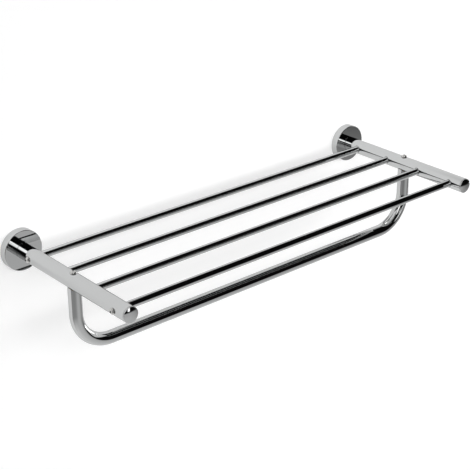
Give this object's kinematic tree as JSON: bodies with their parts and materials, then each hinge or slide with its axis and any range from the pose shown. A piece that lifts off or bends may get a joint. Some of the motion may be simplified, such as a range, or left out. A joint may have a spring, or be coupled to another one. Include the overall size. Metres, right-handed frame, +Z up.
{
  "type": "towel rack with shelf",
  "caption": "Wall-mounted chrome towel rack: a shelf of thin round rods between two tubular arms on round wall flanges, with a U-shaped towel bar hung below.",
  "frame": {"origin": "on the wall plane, midway between the centres of the two wall flanges", "axes": "+X along the shelf bars to the rack's right, seen from the room; +Y into the wall; +Z up"},
  "size_m": [0.61, 0.2307, 0.1251],
  "materials": {
    "chrome": "mirror-bright chrome plate",
    "steel": "bright zinc-plated or stainless steel",
    "brass": "turned brass, uncoated"
  },
  "bodies": {
    "root": {"left_arm": "chrome", "right_arm": "chrome", "left_arm_cap": "chrome", "right_arm_cap": "chrome", "left_flange": "chrome", "right_flange": "chrome", "left_wall_plate": "steel", "right_wall_plate": "steel", "left_arm_plug": "brass", "right_arm_plug": "brass", "left_flange_screw": "steel", "right_flange_screw": "steel", "left_grub_screw": "steel", "right_grub_screw": "steel", "left_leg_insert": "brass", "right_leg_insert": "brass", "left_towel_bar_screw": "steel", "right_towel_bar_screw": "steel", "left_rear_bar_screw": "steel", "left_front_bar_screw": "steel", "right_rear_bar_screw": "steel", "right_front_bar_screw": "steel", "shelf_bar_1": "chrome", "shelf_bar_2": "chrome", "shelf_bar_3": "chrome", "shelf_bar_4": "chrome", "towel_bar": "chrome"}
  },
  "joints": []
}
